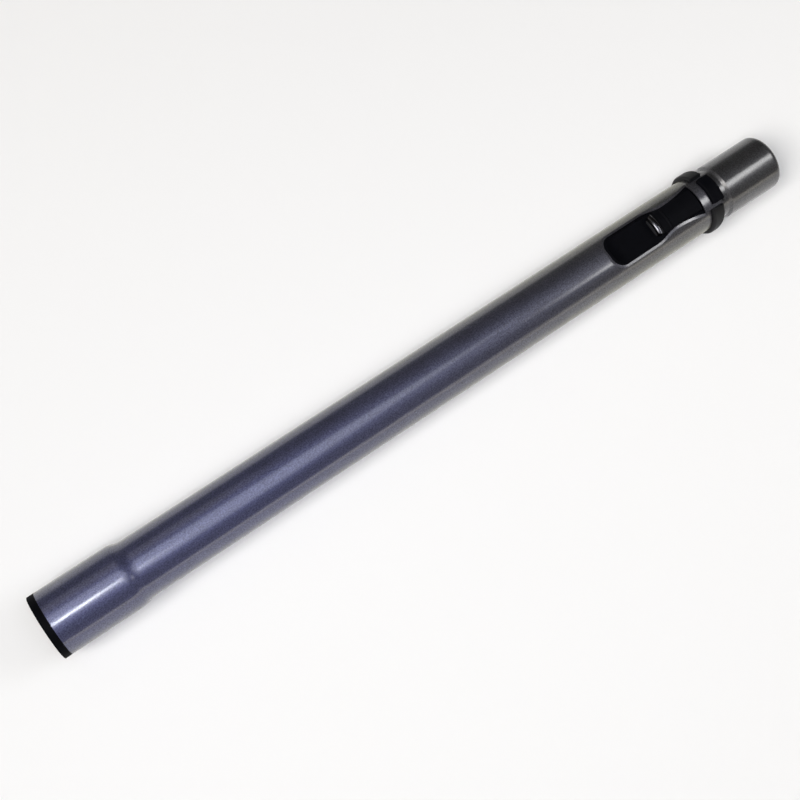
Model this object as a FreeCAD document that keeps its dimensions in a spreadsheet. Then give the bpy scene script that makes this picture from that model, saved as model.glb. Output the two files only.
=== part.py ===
"""Telescopic vacuum wand, fully collapsed, lying on its side with the latch up.

The tubes lie along X. The origin is on their axis where the socket's straight bore begins, +X runs
to the spigot end and +Z points out of the latch. All sizes are in millimetres.
"""
import FreeCAD, Part
import math
import os
import Sketcher

DRIVING_SIZES = {
    # outer tube
    "tube_dia": 35.0,
    "tube_wall": 0.8,
    "outer_len": 450.8,
    "bell_swell": 1.75,
    "bell_len": 46.5,
    "shoulder_len": 8.5,
    # liner of the bell
    "rim_len": 3.2,
    "rim_round": 0.6,
    "socket_gap": 0.1,
    "socket_depth": 41.8,
    "liner_end": 44.0,
    "lead_in": 1.2,
    "stop_lip": 0.9,
    "press_gap": 0.04,
    # latch window in the outer tube, half widths measured across the tube
    "strip_len": 3.5,
    "window_len": 68.5,
    "window_wide": 10.15,
    "window_corner": 8.0,
    "wide_len": 31.0,
    "waist_gap": 21.5,
    "window_waist": 7.5,
    "window_flare": 10.3,
    "edge_run": 1.8,
    "edge_fall": 0.6,
    # guide sleeve
    "sleeve_len": 75.0,
    "slip_gap": 0.08,
    "bore_gap": 0.1,
    "floor_thick": 0.75,
    "channel_half": 8.6,
    "well_half": 9.0,
    "well_margin": 1.5,
    "well_run": 9.5,
    "seat_gap": 0.1,
    "flange_drop": 0.05,
    "block_rise": 2.1,
    "block_angle": 55.0,
    "block_start": 2.4,
    "block_proud": 2.3,
    "turn_gap": 0.6,
    "tab_gap": 0.4,
    "snap_dia": 5.0,
    "snap_rise": 0.7,
    "snap_first": 20.0,
    "snap_second": 55.0,
    # end collar
    "collar_rise": 2.5,
    "collar_len": 8.8,
    "ear_len": 5.0,
    "collar_round": 1.2,
    "collar_gap_angle": 73.0,
    "rib_rise": 0.45,
    "rib_len": 1.6,
    "rib_start": 2.0,
    # wiper ring
    "wiper_start": 0.8,
    "wiper_len": 3.4,
    "wiper_thick": 0.45,
    "wiper_gap": 0.05,
    # thumb slide
    "travel": 5.0,
    "lift": 1.3,
    "run_gap": 0.1,
    "end_gap": 1.0,
    "button_len": 34.0,
    "blank_angle": 90.0,
    "button_half": 6.9,
    "button_flare": 7.2,
    "flare_run": 12.5,
    "button_corner": 3.0,
    "toe_height": 0.8,
    "thumb_radius": 7.0,
    "deck_drop": 0.6,
    "ridge_gap": 33.0,
    "ridge_half": 1.5,
    "ridge_rise": 0.4,
    "ridge_fall": 1.6,
    "ridge_crown": 2.2,
    "low_rib_gap": 24.5,
    "low_rib_half": 1.0,
    "low_rib_crown": 1.2,
    "wing_half": 8.3,
    "wing_height": 1.25,
    "wing_start": 6.0,
    "wing_len": 18.0,
    # lock bolt and its slanted slot
    "bolt_gap": 13.5,
    "bolt_thick": 2.4,
    "bolt_wide": 3.6,
    "bolt_clear": 0.25,
    "bolt_tip": 0.3,
    "head_height": 3.0,
    "head_thick": 0.8,
    "head_half": 1.6,
    "head_wide": 7.0,
    "slot_gap": 0.12,
    # detent spring
    "spring_thick": 0.3,
    "spring_wide": 5.0,
    "spring_half": 4.0,
    "spring_rise": 1.65,
    "spring_foot": 1.8,
    "crest_half": 0.4,
    "crest_gap": 5.0,
    "detent_depth": 0.4,
    "detent_half": 0.8,
    "pocket_depth": 1.4,
    "pocket_room": 0.4,
    # inner tube
    "sleeve_room": 0.7,
    "flat_depth": 4.0,
    "flat_slope": 1.1,
    "stop_gap": 0.3,
    "seat_step": 1.4,
    "seat_len": 13.5,
    "swell_len": 2.0,
    "neck_len": 6.6,
    "flare_len": 1.6,
    "spigot_len": 40.0,
    "lip_round": 3.5,
    "notch_pitch": 25.0,
    "notch_count": 13,
    "notch_depth": 1.25,
    "notch_gap": 0.3,
    # guide ring and seal on the inner end
    "ring_start": 1.5,
    "ring_len": 11.5,
    "ring_gap": 0.1,
    "ring_seat_gap": 0.03,
    "groove_start": 4.0,
    "groove_len": 4.0,
    "groove_depth": 1.0,
    "seal_gap": 0.06,
    "split_half": 0.6,
}

NEAR = 0.001

doc = FreeCAD.newDocument("vacuum_wand")
sheet = doc.addObject("Spreadsheet::Sheet", "dim")
for row, (alias, number) in enumerate(DRIVING_SIZES.items(), start=1):
    sheet.set(f"A{row}", alias)
    sheet.set(f"B{row}", str(number))
    sheet.setAlias(f"B{row}", alias)
doc.recompute()

# radii
TUBE_R = "(dim.tube_dia / 2)"
TUBE_BORE_R = f"({TUBE_R} - dim.tube_wall)"
BELL_R = f"({TUBE_R} + dim.bell_swell)"
BELL_BORE_R = f"({BELL_R} - dim.tube_wall)"
SOCKET_R = f"({TUBE_R} + dim.socket_gap)"
SLEEVE_R = f"({TUBE_BORE_R} - dim.slip_gap)"
INNER_R = f"({TUBE_BORE_R} - dim.sleeve_room)"
SPIGOT_R = TUBE_R
SEAT_R = f"({INNER_R} - dim.seat_step)"
FLANGE_R = f"({TUBE_R} - dim.flange_drop)"
BLOCK_R = f"({TUBE_R} + dim.block_rise)"
COLLAR_R = f"({TUBE_R} + dim.collar_rise)"

# places along the tube
MOUTH_X = "-dim.lead_in"
WINDOW_END = "(dim.outer_len - dim.strip_len)"
WINDOW_START = f"({WINDOW_END} - dim.window_len)"
WIDE_END = f"({WINDOW_START} + dim.wide_len)"
WAIST_X = f"({WINDOW_END} - dim.waist_gap)"
SLEEVE_START = "(dim.outer_len - dim.sleeve_len)"
COLLAR_START = "(dim.outer_len + dim.seat_gap)"
COLLAR_END = f"({COLLAR_START} + dim.collar_len)"
TAB_END = f"({COLLAR_END} - dim.tab_gap)"
BLOCK_START = f"({COLLAR_START} + dim.block_start)"
BLOCK_END = f"({COLLAR_END} + dim.block_proud)"
BUTTON_END = f"({WINDOW_END} - dim.end_gap)"
BUTTON_START = f"({BUTTON_END} - dim.button_len)"
CHANNEL_START = f"({BUTTON_START} - dim.travel - dim.end_gap)"
CHANNEL_END = f"({BUTTON_END} + dim.end_gap)"
RIDGE_X = f"({WINDOW_END} - dim.ridge_gap)"
LOW_RIB_X = f"({WINDOW_END} - dim.low_rib_gap)"
CREST_X = f"({RIDGE_X} + dim.crest_gap)"
BOLT_X = f"({WINDOW_END} - dim.bolt_gap)"
STROKE = "(dim.notch_pitch * (dim.notch_count - 1))"
FLAT_START = f"({SLEEVE_START} - {STROKE} - dim.stop_gap - dim.flat_slope)"
FLAT_END = f"({BLOCK_END} + dim.stop_gap)"
SEAT_END = f"({FLAT_START} - dim.swell_len)"
INNER_START = f"({SEAT_END} - dim.seat_len)"
RING_START = f"({INNER_START} + dim.ring_start)"
RING_END = f"({RING_START} + dim.ring_len)"
NECK_END = f"({COLLAR_END} + dim.neck_len)"
SPIGOT_START = f"({NECK_END} + dim.flare_len)"
SPIGOT_END = f"({SPIGOT_START} + dim.spigot_len)"

# heights above the axis
FLAT_Z = f"({INNER_R} - dim.flat_depth)"
BORE_TOP = f"({FLAT_Z} + dim.bore_gap)"
CHANNEL_FLOOR = f"({BORE_TOP} + dim.floor_thick)"
BUTTON_BOTTOM = f"({CHANNEL_FLOOR} + dim.run_gap)"
DECK_R = f"({TUBE_R} - dim.deck_drop)"
RIDGE_R = f"({TUBE_R} + dim.ridge_rise)"
HEAD_Z = f"({FLAT_Z} + dim.head_height)"
POCKET_TOP = f"({BUTTON_BOTTOM} + dim.pocket_depth)"
SLOPE = "(dim.lift / dim.travel)"


def value(text):
    return float(sheet.evalExpression(text))


def new_body(label):
    body = doc.addObject("PartDesign::Body", label)
    body.Label = label
    return body


def new_sketch(body, name, plane, offset="0"):
    """A sketch on one of the body's origin planes, moved along the plane's normal by offset."""
    sketch = body.newObject("Sketcher::SketchObject", name)
    support = next(f for f in body.Origin.OriginFeatures if f.Role == plane)
    sketch.AttachmentSupport = [(support, "")]
    sketch.MapMode = "FlatFace"
    sketch.setExpression("AttachmentOffset.Base.z", offset)
    return sketch


def bind(sketch, kind, refs, text):
    """Add a size constraint that follows the expression text."""
    index = sketch.addConstraint(Sketcher.Constraint(kind, *refs, value(text)))
    sketch.setExpression(f"Constraints[{index}]", text)


def place_point(sketch, edge, end, x_text, y_text):
    """Hold one end of an edge at the given place in the sketch."""
    for kind, text, axis in (("DistanceX", x_text, -2), ("DistanceY", y_text, -1)):
        number = value(text)
        if text == "0":
            sketch.addConstraint(Sketcher.Constraint("PointOnObject", edge, end, axis))
        elif number > 0:
            bind(sketch, kind, (-1, 1, edge, end), text)
        else:
            bind(sketch, kind, (edge, end, -1, 1), f"-({text})")


def arc_between(start, end, radius, side):
    """The shorter arc from start to end, with its centre on the left (1) or the right (-1)."""
    chord = end - start
    middle = (start + end) * 0.5
    left = FreeCAD.Vector(-chord.y, chord.x, 0) * (1 / chord.Length)
    reach = math.sqrt(max(radius**2 - (chord.Length / 2) ** 2, 0))
    centre = middle + left * (reach * side)
    first, last = (start, end) if side > 0 else (end, start)
    angles = [math.atan2(p.y - centre.y, p.x - centre.x) for p in (first, last)]
    circle = Part.Circle(centre, FreeCAD.Vector(0, 0, 1), radius)
    return Part.ArcOfCircle(circle, *angles)


def add_loop(sketch, corners):
    """Close an outline through corners: (x, y), or (x, y, radius, side) where an arc follows."""
    points = [FreeCAD.Vector(value(c[0]), value(c[1]), 0) for c in corners]
    ends = []
    for i, corner in enumerate(corners):
        start, end = points[i], points[(i + 1) % len(points)]
        if len(corner) == 2:
            edge = sketch.addGeometry(Part.LineSegment(start, end))
            ends.append((edge, 1, 2))
            continue
        radius, side = corner[2:]
        edge = sketch.addGeometry(arc_between(start, end, value(radius), side))
        ends.append((edge, 1, 2) if side > 0 else (edge, 2, 1))
    for i, (edge, start, end) in enumerate(ends):
        follower, follower_start, _ = ends[(i + 1) % len(ends)]
        sketch.addConstraint(Sketcher.Constraint("Coincident", edge, end, follower, follower_start))
    for (edge, start, _), corner in zip(ends, corners):
        place_point(sketch, edge, start, corner[0], corner[1])
        if len(corner) > 2:
            bind(sketch, "Radius", (edge,), corner[2])


def box_loop(x_low, x_high, half):
    return [(x_low, f"-({half})"), (x_high, f"-({half})"), (x_high, half), (x_low, half)]


def underside(corners):
    """An outline mirrored below the axis, so that the seam of a full turn lies out of sight."""
    mirrored = []
    for x, y, *arc in corners:
        low = y if y == "0" else f"-({y})"
        mirrored.append((x, low, arc[0], -arc[1]) if arc else (x, low))
    return mirrored


def revolve(body, name, corners, angle=None, kind="Revolution"):
    """Turn a profile about X, all round or by angle, half to each side of the profile."""
    sketch = new_sketch(body, f"{name}_profile", "XZ_Plane")
    add_loop(sketch, corners if angle else underside(corners))
    feature = body.newObject(f"PartDesign::{kind}", name)
    feature.Profile = sketch
    feature.ReferenceAxis = (sketch, ["H_Axis"])
    if angle:
        feature.Midplane = True
        feature.setExpression("Angle", angle)
    return feature


def extrude(body, kind, name, plane, loops, length, offset="0", way="forward"):
    """Pad or pocket the loops along the plane's normal: forward, backward or half to each side."""
    doc.recompute()
    before = body.Shape.Volume if body.Tip else 0
    sketch = new_sketch(body, f"{name}_outline", plane, offset)
    for corners in loops:
        add_loop(sketch, corners)
    feature = body.newObject(f"PartDesign::{kind}", name)
    feature.Profile = sketch
    feature.setExpression("Length", length)
    feature.Midplane = way == "both"
    feature.Reversed = way == ("forward" if kind == "Pocket" else "backward")
    doc.recompute()
    if abs(body.Shape.Volume - before) < 1e-6:
        raise RuntimeError(f"{name} changes nothing")
    return feature


def window_outline():
    """The waisted window seen from above."""
    wide = "dim.window_wide"
    waist = "dim.window_waist"
    flare = "dim.window_flare"
    corner = "dim.window_corner"
    run = f"({WAIST_X} - {WIDE_END})"
    fall = f"({wide} - {waist})"
    blend = f"(({run}^2 + {fall}^2) / (4 * {fall}))"
    rise = f"({flare} - {waist})"
    sweep = f"((dim.waist_gap^2 + {rise}^2) / (2 * {rise}))"
    middle_x = f"({WIDE_END} + {run} / 2)"
    middle_y = f"(({wide} + {waist}) / 2)"
    return [
        (WINDOW_START, f"{wide} - {corner}", corner, -1),
        (f"{WINDOW_START} + {corner}", wide),
        (WIDE_END, wide, blend, -1),
        (middle_x, middle_y, blend, 1),
        (WAIST_X, waist, sweep, 1),
        (WINDOW_END, flare),
        (WINDOW_END, f"-{flare}", sweep, 1),
        (WAIST_X, f"-{waist}", blend, 1),
        (middle_x, f"-{middle_y}", blend, -1),
        (WIDE_END, f"-{wide}"),
        (f"{WINDOW_START} + {corner}", f"-{wide}", corner, -1),
        (WINDOW_START, f"-({wide} - {corner})"),
    ]


def flat_topped_circle(radius, flat):
    """The inner tube's cross-section: a circle cut off by a flat on the latch side."""
    half = f"sqrt(({radius})^2 - ({flat})^2)"
    return [
        (half, flat, radius, -1),
        ("0", f"-({radius})", radius, -1),
        (f"-{half}", flat),
    ]


def disc(x, radius):
    """A circle about a point on the middle line, as four quarter turns."""
    return [
        (f"{x} - {radius}", "0", radius, 1),
        (x, f"-{radius}", radius, 1),
        (f"{x} + {radius}", "0", radius, 1),
        (x, radius, radius, 1),
    ]


def window_rim(shape):
    """Names of the edges where the window meets the outside of the tube, but for its straight end."""
    low, high, radius = value(WINDOW_START), value(WINDOW_END), value(TUBE_R)
    names = []
    for number, edge in enumerate(shape.Edges, start=1):
        middle = edge.valueAt((edge.FirstParameter + edge.LastParameter) / 2)
        outside = abs(math.hypot(middle.y, middle.z) - radius) < NEAR
        if outside and middle.z > 0 and low - NEAR < middle.x < high - NEAR:
            names.append(f"Edge{number}")
    return names


def outer_tube():
    body = new_body("outer_tube")
    drop = f"({BELL_R} - {TUBE_R})"
    bend = f"((dim.shoulder_len^2 + {drop}^2) / (4 * {drop}))"
    middle_x = "dim.bell_len + dim.shoulder_len / 2"
    shoulder_end = "dim.bell_len + dim.shoulder_len"
    middle_r = f"({BELL_R} + {TUBE_R}) / 2"
    revolve(
        body,
        "tube_wall_turn",
        [
            ("dim.rim_len", BELL_R),
            ("dim.bell_len", BELL_R, bend, -1),
            (middle_x, middle_r, bend, 1),
            (shoulder_end, TUBE_R),
            ("dim.outer_len", TUBE_R),
            ("dim.outer_len", TUBE_BORE_R),
            (shoulder_end, TUBE_BORE_R, bend, -1),
            (middle_x, f"{middle_r} - dim.tube_wall", bend, 1),
            ("dim.bell_len", BELL_BORE_R),
            ("dim.rim_len", BELL_BORE_R),
        ],
    )
    tabs = [
        ("dim.outer_len", TUBE_BORE_R),
        (TAB_END, TUBE_BORE_R),
        (TAB_END, TUBE_R),
        ("dim.outer_len", TUBE_R),
    ]
    revolve(body, "tabs", tabs, "dim.collar_gap_angle - dim.turn_gap")
    gap_start = f"({BLOCK_START} - dim.seat_gap)"
    gap = [
        (gap_start, f"{TUBE_BORE_R} - dim.tube_wall"),
        (COLLAR_END, f"{TUBE_BORE_R} - dim.tube_wall"),
        (COLLAR_END, f"{TUBE_R} + dim.tube_wall"),
        (gap_start, f"{TUBE_R} + dim.tube_wall"),
    ]
    revolve(body, "tab_gap", gap, "dim.block_angle + dim.turn_gap", "Groove")
    window = extrude(body, "Pocket", "latch_window", "XY_Plane", [window_outline()], "dim.tube_dia")
    drawn_edge = body.newObject("PartDesign::Chamfer", "drawn_edge")
    drawn_edge.Base = (window, window_rim(window.Shape))
    drawn_edge.ChamferType = "Two distances"
    drawn_edge.setExpression("Size", "dim.edge_run")
    drawn_edge.setExpression("Size2", "dim.edge_fall")
    for name in ("first", "second"):
        centre = f"({SLEEVE_START} + dim.snap_{name})"
        loop = disc(centre, "dim.snap_dia / 2")
        extrude(body, "Pocket", f"snap_hole_{name}", "XY_Plane", [loop], "dim.tube_dia", way="backward")
    return body


def socket_liner():
    body = new_body("socket_liner")
    liner_r = f"({BELL_BORE_R} - dim.press_gap)"
    stop_r = f"({SOCKET_R} - dim.stop_lip)"
    revolve(
        body,
        "liner_turn",
        [
            (MOUTH_X, f"{SOCKET_R} + dim.lead_in / 2"),
            ("0", SOCKET_R),
            ("dim.socket_depth", SOCKET_R),
            ("dim.socket_depth", stop_r),
            ("dim.liner_end", stop_r),
            ("dim.liner_end", liner_r),
            ("dim.rim_len", liner_r),
            ("dim.rim_len", BELL_R),
            (f"{MOUTH_X} + dim.rim_round", BELL_R, "dim.rim_round", 1),
            (MOUTH_X, f"{BELL_R} - dim.rim_round"),
        ],
    )
    return body


def slope_front(body):
    """Cut the wand's front end back below the latch, so that the collar narrows round the sides."""
    ear_x = f"({COLLAR_START} + dim.ear_len)"
    ear_top = f"({COLLAR_R} * cos(dim.collar_gap_angle / 2))"
    front = f"({BLOCK_END} + dim.stop_gap)"
    slope = [
        (ear_x, "-dim.tube_dia"),
        (front, "-dim.tube_dia"),
        (front, ear_top),
        (COLLAR_END, ear_top),
        (ear_x, "0"),
    ]
    extrude(body, "Pocket", f"{body.Label}_slope", "XZ_Plane", [slope], "2 * dim.tube_dia", way="both")


def guide_sleeve():
    body = new_body("guide_sleeve")
    revolve(
        body,
        "sleeve_turn",
        [
            (SLEEVE_START, "0"),
            (COLLAR_END, "0"),
            (COLLAR_END, FLANGE_R),
            (COLLAR_START, FLANGE_R),
            (COLLAR_START, SLEEVE_R),
            (SLEEVE_START, SLEEVE_R),
        ],
    )
    slope_front(body)
    tab_room = [
        (COLLAR_START, SLEEVE_R),
        (COLLAR_END, SLEEVE_R),
        (COLLAR_END, TUBE_R),
        (COLLAR_START, TUBE_R),
    ]
    revolve(body, "tab_room", tab_room, "dim.collar_gap_angle", "Groove")
    revolve(
        body,
        "front_block",
        [
            (BLOCK_START, FLAT_Z),
            (BLOCK_END, FLAT_Z),
            (BLOCK_END, f"{BLOCK_R} - dim.collar_round", "dim.collar_round", 1),
            (f"{BLOCK_END} - dim.collar_round", BLOCK_R),
            (f"{BLOCK_START} + dim.collar_round", BLOCK_R, "dim.collar_round", 1),
            (BLOCK_START, f"{BLOCK_R} - dim.collar_round"),
        ],
        "dim.block_angle",
    )
    rib_low = f"({FLANGE_R} - dim.rib_rise - dim.press_gap)"
    rib_x = f"({COLLAR_START} + dim.rib_start)"
    groove = [
        (f"{rib_x} - dim.press_gap", f"-{FLANGE_R}"),
        (f"{rib_x} - dim.press_gap", f"-{rib_low}"),
        (f"{rib_x} + dim.rib_len + dim.press_gap", f"-{rib_low}"),
        (f"{rib_x} + dim.rib_len + dim.press_gap", f"-{FLANGE_R}"),
    ]
    revolve(body, "collar_groove", groove, "360 - dim.collar_gap_angle", "Groove")
    bore = flat_topped_circle(f"({INNER_R} + dim.bore_gap)", BORE_TOP)
    extrude(body, "Pocket", "tube_passage", "YZ_Plane", [bore], BLOCK_END)
    wiper_r = f"({INNER_R} + dim.wiper_gap + dim.wiper_thick + dim.press_gap)"
    wiper_top = f"({FLAT_Z} + dim.wiper_gap + dim.wiper_thick + dim.press_gap)"
    recess = flat_topped_circle(wiper_r, wiper_top)
    seat = f"{COLLAR_START} + dim.wiper_start"
    extrude(body, "Pocket", "wiper_seat", "YZ_Plane", [recess], "dim.wiper_len", seat)
    channel = box_loop(CHANNEL_START, CHANNEL_END, "dim.channel_half")
    extrude(body, "Pocket", "slide_channel", "XY_Plane", [channel], "dim.tube_dia", CHANNEL_FLOOR)
    well_start = f"({WINDOW_START} + dim.well_margin)"
    fall = f"({SLEEVE_R} - {CHANNEL_FLOOR})"
    scoop = f"((dim.well_run^2 + {fall}^2) / (2 * {fall}))"
    well = [
        (well_start, SLEEVE_R, scoop, 1),
        (f"{well_start} + dim.well_run", CHANNEL_FLOOR),
        (f"{CHANNEL_START} + dim.end_gap", CHANNEL_FLOOR),
        (f"{CHANNEL_START} + dim.end_gap", TUBE_R),
        (well_start, TUBE_R),
    ]
    extrude(body, "Pocket", "thumb_well", "XZ_Plane", [well], "2 * dim.well_half", way="both")
    bolt_hole = box_loop(
        f"{BOLT_X} - dim.bolt_thick / 2 - dim.slot_gap",
        f"{BOLT_X} + dim.bolt_thick / 2 + dim.slot_gap",
        "dim.bolt_wide / 2 + dim.slot_gap",
    )
    extrude(body, "Pocket", "bolt_hole", "XY_Plane", [bolt_hole], CHANNEL_FLOOR)
    snap_top = f"-({SLEEVE_R} + dim.snap_rise)"
    for name in ("first", "second"):
        centre = f"({SLEEVE_START} + dim.snap_{name})"
        loop = disc(centre, "(dim.snap_dia / 2 - dim.press_gap)")
        height = f"dim.snap_rise + ({SLEEVE_R} - {INNER_R} - dim.bore_gap) / 2"
        extrude(body, "Pad", f"snap_{name}", "XY_Plane", [loop], height, snap_top)
    return body


def end_collar():
    body = new_body("end_collar")
    bore_r = f"({FLANGE_R} + dim.press_gap)"
    rib_r = f"({FLANGE_R} - dim.rib_rise)"
    rib_x = f"({COLLAR_START} + dim.rib_start)"
    revolve(
        body,
        "collar_turn",
        [
            (COLLAR_START, f"-{bore_r}"),
            (COLLAR_START, f"-({COLLAR_R} - dim.collar_round)", "dim.collar_round", 1),
            (f"{COLLAR_START} + dim.collar_round", f"-{COLLAR_R}"),
            (f"{COLLAR_END} - dim.collar_round", f"-{COLLAR_R}", "dim.collar_round", 1),
            (COLLAR_END, f"-({COLLAR_R} - dim.collar_round)"),
            (COLLAR_END, f"-{bore_r}"),
            (f"{rib_x} + dim.rib_len", f"-{bore_r}"),
            (f"{rib_x} + dim.rib_len", f"-{rib_r}"),
            (rib_x, f"-{rib_r}"),
            (rib_x, f"-{bore_r}"),
        ],
        "360 - dim.collar_gap_angle",
    )
    slope_front(body)
    return body


def wiper_ring():
    body = new_body("wiper_ring")
    hole_r = f"({INNER_R} + dim.wiper_gap)"
    hole_top = f"({FLAT_Z} + dim.wiper_gap)"
    outside = flat_topped_circle(f"({hole_r} + dim.wiper_thick)", f"({hole_top} + dim.wiper_thick)")
    inside = flat_topped_circle(hole_r, hole_top)
    start = f"{COLLAR_START} + dim.wiper_start + dim.press_gap"
    length = "dim.wiper_len - 2 * dim.press_gap"
    extrude(body, "Pad", "felt", "YZ_Plane", [outside, inside], length, start)
    return body


def slant(x, rise):
    """A point on the slot's slanted middle line at x, moved up by rise."""
    return (f"{x}", f"{HEAD_Z} - {SLOPE} * ({x} - {BOLT_X}) + {rise}")


def slide_button():
    body = new_body("slide_button")
    ridge_low = f"({RIDGE_X} - dim.ridge_half)"
    ridge_high = f"({RIDGE_X} + dim.ridge_half)"
    revolve(
        body,
        "button_turn",
        [
            (BUTTON_START, FLAT_Z),
            (BUTTON_END, FLAT_Z),
            (BUTTON_END, DECK_R),
            (f"{LOW_RIB_X} + dim.low_rib_half", DECK_R, "dim.low_rib_crown", 1),
            (f"{LOW_RIB_X} - dim.low_rib_half", DECK_R),
            (f"{ridge_high} + dim.ridge_fall", DECK_R),
            (ridge_high, RIDGE_R, "dim.ridge_crown", 1),
            (ridge_low, RIDGE_R, "dim.thumb_radius", -1),
            (BUTTON_START, f"{BUTTON_BOTTOM} + dim.toe_height"),
        ],
        "dim.blank_angle",
    )
    flare_start = f"({BUTTON_END} - dim.flare_run)"
    corner = "dim.button_corner"
    plan = [
        (BUTTON_START, f"-(dim.button_half - {corner})", corner, 1),
        (f"{BUTTON_START} + {corner}", "-dim.button_half"),
        (flare_start, "-dim.button_half"),
        (BUTTON_END, "-dim.button_flare"),
        (BUTTON_END, "dim.button_flare"),
        (flare_start, "dim.button_half"),
        (f"{BUTTON_START} + {corner}", "dim.button_half", corner, 1),
        (BUTTON_START, f"dim.button_half - {corner}"),
    ]
    surround = box_loop(f"{BUTTON_START} - {corner}", f"{BUTTON_END} + {corner}", "dim.tube_dia")
    extrude(body, "Pocket", "button_plan", "XY_Plane", [surround, plan], "dim.tube_dia")
    extrude(body, "Pocket", "button_base", "XY_Plane", [surround], "dim.tube_dia", BUTTON_BOTTOM, "backward")
    wing_start = f"({BUTTON_START} + dim.wing_start)"
    wings = box_loop(wing_start, f"{wing_start} + dim.wing_len", "dim.wing_half")
    extrude(body, "Pad", "wings", "XY_Plane", [wings], "dim.wing_height", BUTTON_BOTTOM)
    slot_start = f"({BOLT_X} - dim.head_half - 2 * dim.slot_gap)"
    slot_end = f"({BUTTON_END} + dim.end_gap)"
    half = "(dim.head_thick / 2 + dim.slot_gap)"
    head_room = [
        slant(slot_start, f"-{half}"),
        slant(slot_end, f"-{half}"),
        slant(slot_end, half),
        slant(slot_start, half),
    ]
    width = "dim.head_wide + 2 * dim.slot_gap"
    extrude(body, "Pocket", "head_slot", "XZ_Plane", [head_room], width, way="both")
    neck_room = [
        (slot_start, FLAT_Z),
        (slot_end, FLAT_Z),
        slant(slot_end, "0"),
        slant(slot_start, "0"),
    ]
    width = "dim.bolt_wide + 2 * dim.slot_gap"
    extrude(body, "Pocket", "neck_slot", "XZ_Plane", [neck_room], width, way="both")
    pocket = box_loop(
        f"{CREST_X} - dim.spring_half - dim.pocket_room",
        f"{CREST_X} + dim.spring_half + dim.travel + dim.pocket_room",
        "dim.spring_wide / 2 + dim.pocket_room",
    )
    extrude(body, "Pocket", "spring_pocket", "XY_Plane", [pocket], "dim.pocket_depth", BUTTON_BOTTOM)
    for name, shift in (("free", "0"), ("locked", "dim.travel")):
        groove = [
            (f"{CREST_X} + {shift} - dim.detent_half", POCKET_TOP),
            (f"{CREST_X} + {shift} + dim.detent_half", POCKET_TOP),
            (f"{CREST_X} + {shift}", f"{POCKET_TOP} + dim.detent_depth"),
        ]
        width = "dim.spring_wide + 2 * dim.pocket_room"
        extrude(body, "Pocket", f"detent_{name}", "XZ_Plane", [groove], width, way="both")
    return body


def lock_bolt():
    body = new_body("lock_bolt")
    tip = f"({FLAT_Z} + dim.bolt_clear)"
    left = f"({BOLT_X} - dim.bolt_thick / 2)"
    right = f"({BOLT_X} + dim.bolt_thick / 2)"
    neck = [
        (f"{left} + dim.bolt_tip", tip),
        (f"{right} - dim.bolt_tip", tip),
        (right, f"{tip} + dim.bolt_tip"),
        slant(right, "0"),
        slant(left, "0"),
        (left, f"{tip} + dim.bolt_tip"),
    ]
    extrude(body, "Pad", "neck", "XZ_Plane", [neck], "dim.bolt_wide", way="both")
    first = f"({BOLT_X} - dim.head_half)"
    last = f"({BOLT_X} + dim.head_half)"
    half = "dim.head_thick / 2"
    head = [
        slant(first, f"-{half}"),
        slant(last, f"-{half}"),
        slant(last, half),
        slant(first, half),
    ]
    extrude(body, "Pad", "head", "XZ_Plane", [head], "dim.head_wide", way="both")
    return body


def detent_spring():
    body = new_body("detent_spring")
    floor = CHANNEL_FLOOR
    top = f"({floor} + dim.spring_thick)"
    crest = f"({floor} + dim.spring_rise)"
    under = f"({crest} - dim.spring_thick)"
    reach = "dim.spring_half"
    foot = "(dim.spring_half - dim.spring_foot)"
    inner = f"({foot} - dim.spring_thick / 2)"
    strip = [
        (f"{CREST_X} - {reach}", floor),
        (f"{CREST_X} - {inner}", floor),
        (f"{CREST_X} - dim.crest_half / 2", under),
        (f"{CREST_X} + dim.crest_half / 2", under),
        (f"{CREST_X} + {inner}", floor),
        (f"{CREST_X} + {reach}", floor),
        (f"{CREST_X} + {reach}", top),
        (f"{CREST_X} + {foot}", top),
        (f"{CREST_X} + dim.crest_half", crest),
        (f"{CREST_X} - dim.crest_half", crest),
        (f"{CREST_X} - {foot}", top),
        (f"{CREST_X} - {reach}", top),
    ]
    extrude(body, "Pad", "strip", "XZ_Plane", [strip], "dim.spring_wide", way="both")
    return body


def notch_row(body, name, grow, height):
    """A row of pockets from the latch back towards the socket, one for each locked length."""
    notch = box_loop(
        f"{BOLT_X} - dim.bolt_thick / 2 - dim.notch_gap - {grow}",
        f"{BOLT_X} + dim.bolt_thick / 2 + dim.notch_gap + {grow}",
        f"dim.bolt_wide / 2 + dim.notch_gap + {grow}",
    )
    pocket = extrude(body, "Pocket", name, "XY_Plane", [notch], "dim.notch_depth", height, "backward")
    row = body.newObject("PartDesign::LinearPattern", f"{name}_row")
    row.Originals = [pocket]
    row.Direction = (next(f for f in body.Origin.OriginFeatures if f.Role == "X_Axis"), [""])
    row.Reversed = True
    row.setExpression("Length", STROKE)
    row.setExpression("Occurrences", "dim.notch_count")
    body.Tip = row


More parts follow.
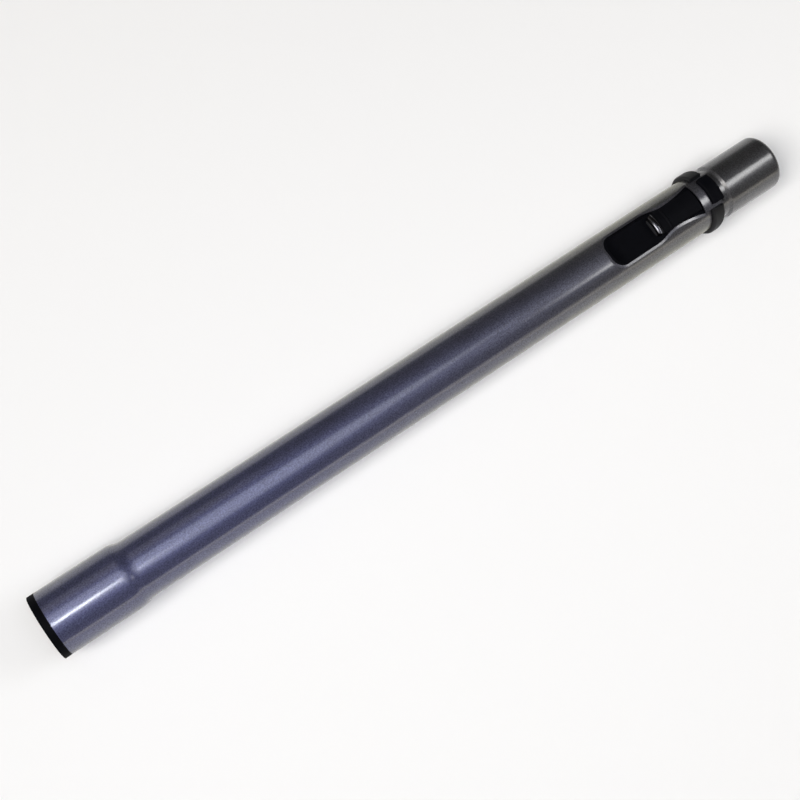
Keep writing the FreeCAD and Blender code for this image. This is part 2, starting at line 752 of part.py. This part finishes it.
def tube_form(name, wall):
    """The inner tube's form with its flat and notches, drawn smaller all over by wall."""
    body = new_body(name)
    seat_r = f"({SEAT_R} - {wall})"
    round_r = f"({INNER_R} - {wall})"
    spigot_r = f"({SPIGOT_R} - {wall})"
    mouth_r = f"({SPIGOT_R} - dim.lip_round)"
    lip = f"(dim.lip_round - {wall})"
    corners = [(INNER_START, "0"), (SPIGOT_END, "0")]
    if wall != "0":
        corners.append((SPIGOT_END, mouth_r))
    corners += [
        (f"{SPIGOT_END} - {wall}", mouth_r, lip, 1),
        (f"{SPIGOT_END} - dim.lip_round", spigot_r),
        (f"{SPIGOT_START} + {wall} / 2", spigot_r),
        (f"{NECK_END} + {wall} / 2", round_r),
        (FLAT_START, round_r),
        (SEAT_END, seat_r),
        (INNER_START, seat_r),
    ]
    revolve(body, f"{name}_turn", corners)
    height = f"({FLAT_Z} - {wall})"
    flat = [
        (f"{FLAT_START} - {wall}", INNER_R),
        (f"{FLAT_START} + dim.flat_slope - {wall}", height),
        (f"{FLAT_END} + {wall}", height),
        (f"{FLAT_END} + dim.flat_slope + {wall}", INNER_R),
    ]
    extrude(body, "Pocket", f"{name}_flat", "XZ_Plane", [flat], "dim.tube_dia", way="both")
    notch_row(body, f"{name}_notch", wall, height)
    return body


def inner_tube():
    tube = doc.addObject("Part::Cut", "inner_tube")
    tube.Base = tube_form("outside_form", "0")
    tube.Tool = tube_form("inside_form", "dim.tube_wall")
    tube.Label = "inner_tube"
    return tube


def guide_ring():
    body = new_body("guide_ring")
    bore_r = f"({SEAT_R} + dim.ring_seat_gap)"
    outer_r = f"({TUBE_BORE_R} - dim.ring_gap)"
    groove_r = f"({outer_r} - dim.groove_depth)"
    groove_start = f"({RING_START} + dim.groove_start)"
    groove_end = f"({groove_start} + dim.groove_len)"
    revolve(
        body,
        "ring_turn",
        [
            (RING_START, bore_r),
            (RING_END, bore_r),
            (RING_END, outer_r),
            (groove_end, outer_r),
            (groove_end, groove_r),
            (groove_start, groove_r),
            (groove_start, outer_r),
            (RING_START, outer_r),
        ],
    )
    split = box_loop(f"{RING_START} - dim.end_gap", f"{RING_END} + dim.end_gap", "dim.split_half")
    extrude(body, "Pocket", "split", "XY_Plane", [split], "dim.tube_dia", way="backward")
    return body


def piston_seal():
    body = new_body("piston_seal")
    outer_r = f"({TUBE_BORE_R} - dim.seal_gap)"
    bore_r = f"({TUBE_BORE_R} - dim.ring_gap - dim.groove_depth + dim.ring_seat_gap)"
    start = f"({RING_START} + dim.groove_start + dim.press_gap)"
    end = f"({RING_START} + dim.groove_start + dim.groove_len - dim.press_gap)"
    revolve(body, "seal_turn", [(start, bore_r), (end, bore_r), (end, outer_r), (start, outer_r)])
    return body


pieces = [
    outer_tube(),
    socket_liner(),
    guide_sleeve(),
    end_collar(),
    wiper_ring(),
    slide_button(),
    lock_bolt(),
    detent_spring(),
    inner_tube(),
    guide_ring(),
    piston_seal(),
]
doc.recompute()

for thing in doc.Objects:
    if "Invalid" in thing.State or "Error" in thing.State:
        raise RuntimeError(f"{thing.Label} failed: {thing.State}")
for piece in pieces:
    if piece.Shape.isNull() or not piece.Shape.isValid():
        raise RuntimeError(f"{piece.Label} has no valid shape")

os.makedirs("parts", exist_ok=True)
for piece in pieces:
    piece.Shape.exportStep(f"parts/{piece.Label}.step")
    print(piece.Label, len(piece.Shape.Solids), round(piece.Shape.Volume, 1))
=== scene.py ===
"""Telescopic vacuum wand: metallic painted tubes and a black moulded latch, on a pale floor."""
import math

import bpy
from mathutils import Matrix, Vector


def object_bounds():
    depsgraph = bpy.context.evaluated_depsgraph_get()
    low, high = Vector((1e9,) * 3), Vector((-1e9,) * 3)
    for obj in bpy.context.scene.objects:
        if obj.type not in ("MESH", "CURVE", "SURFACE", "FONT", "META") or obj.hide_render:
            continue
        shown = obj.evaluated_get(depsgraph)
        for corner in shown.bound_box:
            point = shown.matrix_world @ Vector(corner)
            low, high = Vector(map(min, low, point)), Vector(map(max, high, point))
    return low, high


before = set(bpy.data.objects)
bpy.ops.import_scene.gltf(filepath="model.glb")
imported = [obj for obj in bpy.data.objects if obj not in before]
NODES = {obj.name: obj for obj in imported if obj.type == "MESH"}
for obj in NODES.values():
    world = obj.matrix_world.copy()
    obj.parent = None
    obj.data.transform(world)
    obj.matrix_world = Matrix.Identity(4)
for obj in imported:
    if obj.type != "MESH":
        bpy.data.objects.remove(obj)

CAD_LOW, CAD_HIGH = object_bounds()

# camera: where it stands along the wand, how far off the axis, and how it is turned
CAMERA_X = 0.0574
CAMERA_REACH = 0.7029
CAMERA_LEAN = math.radians(9.2)
CAMERA_PAN = 0.2391
CAMERA_TILT = -0.002
CAMERA_ROLL = -0.5785
CAMERA_LENS = 56.79
CAMERA_NEAR = 0.01

# paint of the tubes: its tint towards the socket and towards the spigot, whose change along the
# tube is painted light, and its tint at a grazing angle
OUTER_BLUE = (0.1, 0.106, 0.208, 1.0)
OUTER_GREY = (0.1, 0.1, 0.118, 1.0)
OUTER_EDGE = (0.95, 0.92, 0.5, 1.0)
INNER_COOL = (0.075, 0.075, 0.083, 1.0)
INNER_GREY = (0.075, 0.075, 0.081, 1.0)
INNER_EDGE = (1.0, 1.0, 1.0, 1.0)

# colours of the other materials, in their darker and lighter patches
BLACK_DARK = (0.0012, 0.0013, 0.002, 1.0)
BLACK_LIGHT = (0.003, 0.0032, 0.005, 1.0)
# grey of the painted highlight on the thumb ridge
PAINTED_RIDGE_HIGHLIGHT = (0.085, 0.085, 0.095, 1.0)
PALE_DARK = (0.52, 0.51, 0.47, 1.0)
PALE_LIGHT = (0.64, 0.63, 0.59, 1.0)
STEEL_DARK = (0.42, 0.42, 0.44, 1.0)
STEEL_LIGHT = (0.68, 0.68, 0.7, 1.0)
FELT_DARK = (0.012, 0.012, 0.014, 1.0)
FELT_LIGHT = (0.06, 0.06, 0.062, 1.0)

# fineness of each noise, in repeats to the metre, and depth of the relief
FLAKE_SCALE = 1300.0
CLOUD_SCALE = 90.0
PEEL_SCALE = 900.0
PATCH_SCALE = 140.0
RUB_SCALE = 60.0
THUMB_GRAIN = 1500.0
FIBRE_SCALE = 5200.0
DRAWN_LINES = (60.0, 4000.0, 4000.0)
GRAIN_DEPTH = 0.0001
FIBRE_DEPTH = 0.0003

# how far from its crest the thumb ridge is polished and carries a painted highlight, where both
# end, and how smooth the polish is
RIDGE_POLISH_AND_HIGHLIGHT = 0.0013
RIDGE_FADE = 0.0022
POLISHED_ROUGHNESS = 0.2

# surroundings
FLOOR_SIZE = 24.0
FLOOR_COLOUR = (0.93, 0.93, 0.93, 1.0)
FLOOR_ROUGHNESS = 0.9
WORLD_COLOUR = (0.9, 0.85, 0.74, 1.0)
WORLD_STRENGTH = 0.06
PLAIN_WHITE = (1.0, 1.0, 1.0)
WARM_WHITE = (1.0, 0.94, 0.82)
SOFT_WHITE = (1.0, 0.97, 0.93)
COOL_WHITE = (0.9, 0.93, 1.0)

# sockets of the mix node that hold its factor, its two colours and its result
MIX_INPUTS = (0, 6, 7)
MIX_OUTPUT = 2


def node(tree, kind, inputs=None, **settings):
    """Add a shader node with its settings and its constant or linked inputs."""
    made = tree.nodes.new(kind)
    for key, setting in settings.items():
        setattr(made, key, setting)
    for key, given in (inputs or {}).items():
        if isinstance(given, bpy.types.NodeSocket):
            tree.links.new(given, made.inputs[key])
        else:
            made.inputs[key].default_value = given
    return made


def new_material(name):
    """An empty node material with its principled shader and the object's own coordinates."""
    made = bpy.data.materials.new(name)
    made.use_nodes = True
    tree = made.node_tree
    tree.nodes.clear()
    shader = node(tree, "ShaderNodeBsdfPrincipled")
    node(tree, "ShaderNodeOutputMaterial", {"Surface": shader.outputs["BSDF"]})
    place = node(tree, "ShaderNodeTexCoord").outputs["Object"]
    return made, tree, shader, place


def noise(tree, place, scale, detail, roughness=0.5):
    return node(
        tree,
        "ShaderNodeTexNoise",
        {"Vector": place, "Scale": scale, "Detail": detail, "Roughness": roughness},
    ).outputs["Fac"]


def spread(tree, factor, low, high, start=0.3, end=0.7):
    """Map a factor between start and end to the range low to high."""
    return node(
        tree,
        "ShaderNodeMapRange",
        {"Value": factor, "From Min": start, "From Max": end, "To Min": low, "To Max": high},
    ).outputs["Result"]


def mix_colours(tree, factor, first, second, blend="MIX"):
    inputs = dict(zip(MIX_INPUTS, (factor, first, second)))
    made = node(tree, "ShaderNodeMix", inputs, data_type="RGBA", blend_type=blend)
    return made.outputs[MIX_OUTPUT]


def bump(tree, shader, height, strength, distance):
    made = node(
        tree,
        "ShaderNodeBump",
        {"Height": height, "Strength": strength, "Distance": distance},
    )
    tree.links.new(made.outputs["Normal"], shader.inputs["Normal"])


def metallic_paint(name, left, right, left_x, right_x, edge):
    """Satin metallic paint: fine flakes, a tint that changes slowly along the tube as painted
    light, standing in for how the light falls along it, light orange peel.
    """
    made, tree, shader, place = new_material(name)
    # the tint's change from socket to spigot is painted light: it copies how the light falls along
    # the tube
    along = node(tree, "ShaderNodeSeparateXYZ", {"Vector": place}).outputs["X"]
    painted_light_drift = spread(tree, along, low=0.0, high=1.0, start=left_x, end=right_x)
    tint = mix_colours(tree, painted_light_drift, left, right)
    flakes = noise(tree, place, FLAKE_SCALE, detail=5.0, roughness=0.7)
    sparkle = spread(tree, flakes, low=0.55, high=1.5, start=0.33, end=0.68)
    colour = mix_colours(tree, 1.0, tint, sparkle, "MULTIPLY")
    tree.links.new(colour, shader.inputs["Base Color"])
    cloud = noise(tree, place, CLOUD_SCALE, detail=4.0)
    tree.links.new(spread(tree, cloud, low=0.52, high=0.6), shader.inputs["Roughness"])
    shader.inputs["Metallic"].default_value = 1.0
    shader.inputs["Specular Tint"].default_value = edge
    shader.inputs["Coat Weight"].default_value = 0.85
    shader.inputs["Coat Roughness"].default_value = 0.2
    shader.inputs["Coat IOR"].default_value = 1.75
    peel = noise(tree, place, PEEL_SCALE, detail=2.0)
    bump(tree, shader, peel, strength=0.06, distance=GRAIN_DEPTH)
    return made


def moulded_plastic(name, dark, light, grain, rough_low, rough_high, relief, gloss):
    """Moulded plastic with a fine spark-eroded grain and faint rubbed patches."""
    made, tree, shader, place = new_material(name)
    patches = noise(tree, place, PATCH_SCALE, detail=5.0, roughness=0.6)
    tree.links.new(mix_colours(tree, patches, dark, light), shader.inputs["Base Color"])
    rub = noise(tree, place, RUB_SCALE, detail=4.0)
    tree.links.new(spread(tree, rub, rough_low, rough_high), shader.inputs["Roughness"])
    shader.inputs["Specular IOR Level"].default_value = gloss
    bump(tree, shader, noise(tree, place, grain, detail=3.0), relief, GRAIN_DEPTH)
    return made


def thumb_plastic(name, mesh):
    """Matte black plastic whose highest ridge the thumb has polished smoother, with a painted
    highlight of grey metallic colour on it.
    """
    made, tree, shader, place = new_material(name)
    ridge_x = max(mesh.vertices, key=lambda point: point.co.z).co.x
    along = node(tree, "ShaderNodeSeparateXYZ", {"Vector": place}).outputs["X"]
    off = node(tree, "ShaderNodeMath", {0: along, 1: ridge_x}, operation="SUBTRACT").outputs[0]
    away = node(tree, "ShaderNodeMath", {0: off}, operation="ABSOLUTE").outputs[0]
    polish_and_highlight = spread(tree, away, low=1.0, high=0.0, start=RIDGE_POLISH_AND_HIGHLIGHT, end=RIDGE_FADE)
    patches = noise(tree, place, PATCH_SCALE, detail=5.0, roughness=0.6)
    black = mix_colours(tree, patches, BLACK_DARK, BLACK_LIGHT)
    # the grey, metallic colour on the ridge is a painted highlight; only its lower roughness is
    # real polish
    tree.links.new(mix_colours(tree, polish_and_highlight, black, PAINTED_RIDGE_HIGHLIGHT), shader.inputs["Base Color"])
    tree.links.new(polish_and_highlight, shader.inputs["Metallic"])
    matte = spread(tree, noise(tree, place, RUB_SCALE, detail=4.0), low=0.6, high=0.7)
    blend = node(tree, "ShaderNodeMix", {"Factor": polish_and_highlight, "A": matte, "B": POLISHED_ROUGHNESS})
    tree.links.new(blend.outputs["Result"], shader.inputs["Roughness"])
    shader.inputs["Specular IOR Level"].default_value = 0.06
    grain = noise(tree, place, THUMB_GRAIN, detail=3.0)
    bump(tree, shader, grain, strength=0.1, distance=GRAIN_DEPTH)
    return made


def bright_steel(name):
    """Drawn spring steel with fine lengthwise lines."""
    made, tree, shader, place = new_material(name)
    stretch = node(tree, "ShaderNodeMapping", {"Vector": place, "Scale": DRAWN_LINES})
    lines = noise(tree, stretch.outputs["Vector"], 1.0, detail=3.0)
    tree.links.new(mix_colours(tree, lines, STEEL_DARK, STEEL_LIGHT), shader.inputs["Base Color"])
    tree.links.new(spread(tree, lines, low=0.22, high=0.4), shader.inputs["Roughness"])
    shader.inputs["Metallic"].default_value = 1.0
    return made


def pressed_felt(name):
    """Dark felt: tangled fibres over a soft, cloudy colour."""
    made, tree, shader, place = new_material(name)
    fibres = noise(tree, place, FIBRE_SCALE, detail=6.0, roughness=0.75)
    tree.links.new(mix_colours(tree, fibres, FELT_DARK, FELT_LIGHT), shader.inputs["Base Color"])
    shader.inputs["Roughness"].default_value = 0.95
    shader.inputs["Sheen Weight"].default_value = 0.35
    bump(tree, shader, fibres, strength=0.7, distance=FIBRE_DEPTH)
    return made


outer_paint = metallic_paint(
    "outer_paint", left=OUTER_BLUE, right=OUTER_GREY, left_x=0.14, right_x=0.4, edge=OUTER_EDGE
)
inner_paint = metallic_paint(
    "inner_paint", left=INNER_COOL, right=INNER_GREY, left_x=0.06, right_x=0.5, edge=INNER_EDGE
)
matte_black = moulded_plastic(
    "matte_black",
    BLACK_DARK,
    BLACK_LIGHT,
    grain=2600.0,
    rough_low=0.55,
    rough_high=0.68,
    relief=0.35,
    gloss=0.04,
)
grained_black = moulded_plastic(
    "grained_black",
    BLACK_DARK,
    BLACK_LIGHT,
    grain=2600.0,
    rough_low=0.45,
    rough_high=0.58,
    relief=0.3,
    gloss=0.3,
)
smooth_black = thumb_plastic("smooth_black", NODES["slide_button"].data)
pale_plastic = moulded_plastic(
    "pale_plastic",
    PALE_DARK,
    PALE_LIGHT,
    grain=1800.0,
    rough_low=0.4,
    rough_high=0.5,
    relief=0.15,
    gloss=0.5,
)
steel = bright_steel("spring_steel")
felt = pressed_felt("felt")

FINISHES = {
    "outer_tube": outer_paint,
    "inner_tube": inner_paint,
    "socket_liner": matte_black,
    "guide_sleeve": matte_black,
    "end_collar": grained_black,
    "slide_button": smooth_black,
    "lock_bolt": steel,
    "detent_spring": steel,
    "guide_ring": pale_plastic,
    "wiper_ring": felt,
    "piston_seal": felt,
}
for name, finish in FINISHES.items():
    mesh = NODES[name].data
    mesh.materials.clear()
    mesh.materials.append(finish)


def area_light(name, place, aim, width, height, power, colour):
    """A soft box at place, facing aim."""
    lamp = bpy.data.lights.new(name, "AREA")
    lamp.shape = "RECTANGLE"
    lamp.size = width
    lamp.size_y = height
    lamp.energy = power
    lamp.color = colour
    made = bpy.data.objects.new(name, lamp)
    made.location = place
    facing = Vector(aim) - Vector(place)
    made.rotation_euler = facing.to_track_quat("-Z", "Y").to_euler()
    bpy.context.collection.objects.link(made)


# broad light from above, which gives the tube its blue-white highlight
area_light(
    "sky_panel",
    place=(0.12, -0.12, 1.33),
    aim=(0.2, 0.0, 0.0),
    width=1.05,
    height=0.9,
    power=5.0,
    colour=COOL_WHITE,
)
# bright line along the socket
area_light(
    "near_box",
    place=(-0.03, -0.16, 0.8),
    aim=(0.05, 0.0, 0.0),
    width=0.06,
    height=0.1,
    power=0.9,
    colour=COOL_WHITE,
)
# bright line along the latch end and the spigot
area_light(
    "far_box",
    place=(0.93, -0.27, 0.8),
    aim=(0.45, 0.0, 0.0),
    width=0.5,
    height=0.16,
    power=2.19,
    colour=PLAIN_WHITE,
)
# pale wall at the floor's edge, which lightens the near flank
area_light(
    "low_strip",
    place=(0.25, -11.9, 0.65),
    aim=(0.25, 0.0, 0.0),
    width=27.0,
    height=1.2,
    power=259.0,
    colour=WARM_WHITE,
)
# weak light on the far flank
area_light(
    "back_box",
    place=(0.0, 0.55, 0.65),
    aim=(0.05, 0.0, 0.0),
    width=0.45,
    height=0.4,
    power=0.22,
    colour=WARM_WHITE,
)
# light of the floor, from so far beyond the socket that the tube doesn't mirror it to the camera
area_light(
    "left_lamp",
    place=(-4.4, -0.3, 5.2),
    aim=(0.25, 0.0, 0.0),
    width=3.2,
    height=3.2,
    power=360.0,
    colour=SOFT_WHITE,
)

world = bpy.data.worlds.new("studio")
world.use_nodes = True
backing = world.node_tree.nodes["Background"]
backing.inputs["Color"].default_value = WORLD_COLOUR
backing.inputs["Strength"].default_value = WORLD_STRENGTH
bpy.context.scene.world = world

half = FLOOR_SIZE / 2
floor_mesh = bpy.data.meshes.new("floor")
floor_mesh.from_pydata(
    [(-half, -half, 0.0), (half, -half, 0.0), (half, half, 0.0), (-half, half, 0.0)],
    [],
    [(0, 1, 2, 3)],
)
floor = bpy.data.objects.new("floor", floor_mesh)
floor.location = (0.0, 0.0, CAD_LOW.z)
bpy.context.collection.objects.link(floor)
floor_finish, _, floor_shader, _ = new_material("floor")
floor_shader.inputs["Base Color"].default_value = FLOOR_COLOUR
floor_shader.inputs["Roughness"].default_value = FLOOR_ROUGHNESS
floor_shader.inputs["Specular IOR Level"].default_value = 0.0
floor_mesh.materials.append(floor_finish)

toward = Vector((0.0, -math.sin(CAMERA_LEAN), math.cos(CAMERA_LEAN)))
above = Vector((0.0, math.cos(CAMERA_LEAN), math.sin(CAMERA_LEAN)))
along_x = Vector((1.0, 0.0, 0.0))
level = along_x * math.cos(CAMERA_PAN) + toward * math.sin(CAMERA_PAN)
ahead = along_x * math.sin(CAMERA_PAN) - toward * math.cos(CAMERA_PAN)
forward = ahead * math.cos(CAMERA_TILT) + above * math.sin(CAMERA_TILT)
upright = above * math.cos(CAMERA_TILT) - ahead * math.sin(CAMERA_TILT)
right = level * math.cos(CAMERA_ROLL) + upright * math.sin(CAMERA_ROLL)
up = upright * math.cos(CAMERA_ROLL) - level * math.sin(CAMERA_ROLL)
lens = bpy.data.cameras.new("camera")
lens.lens = CAMERA_LENS
lens.clip_start = CAMERA_NEAR
camera = bpy.data.objects.new("camera", lens)
turn = Matrix((right, up, -forward)).transposed()
camera.matrix_world = Matrix.Translation(along_x * CAMERA_X + toward * CAMERA_REACH) @ turn.to_4x4()
bpy.context.collection.objects.link(camera)
bpy.context.scene.camera = camera
bpy.context.scene.view_settings.view_transform = "Standard"
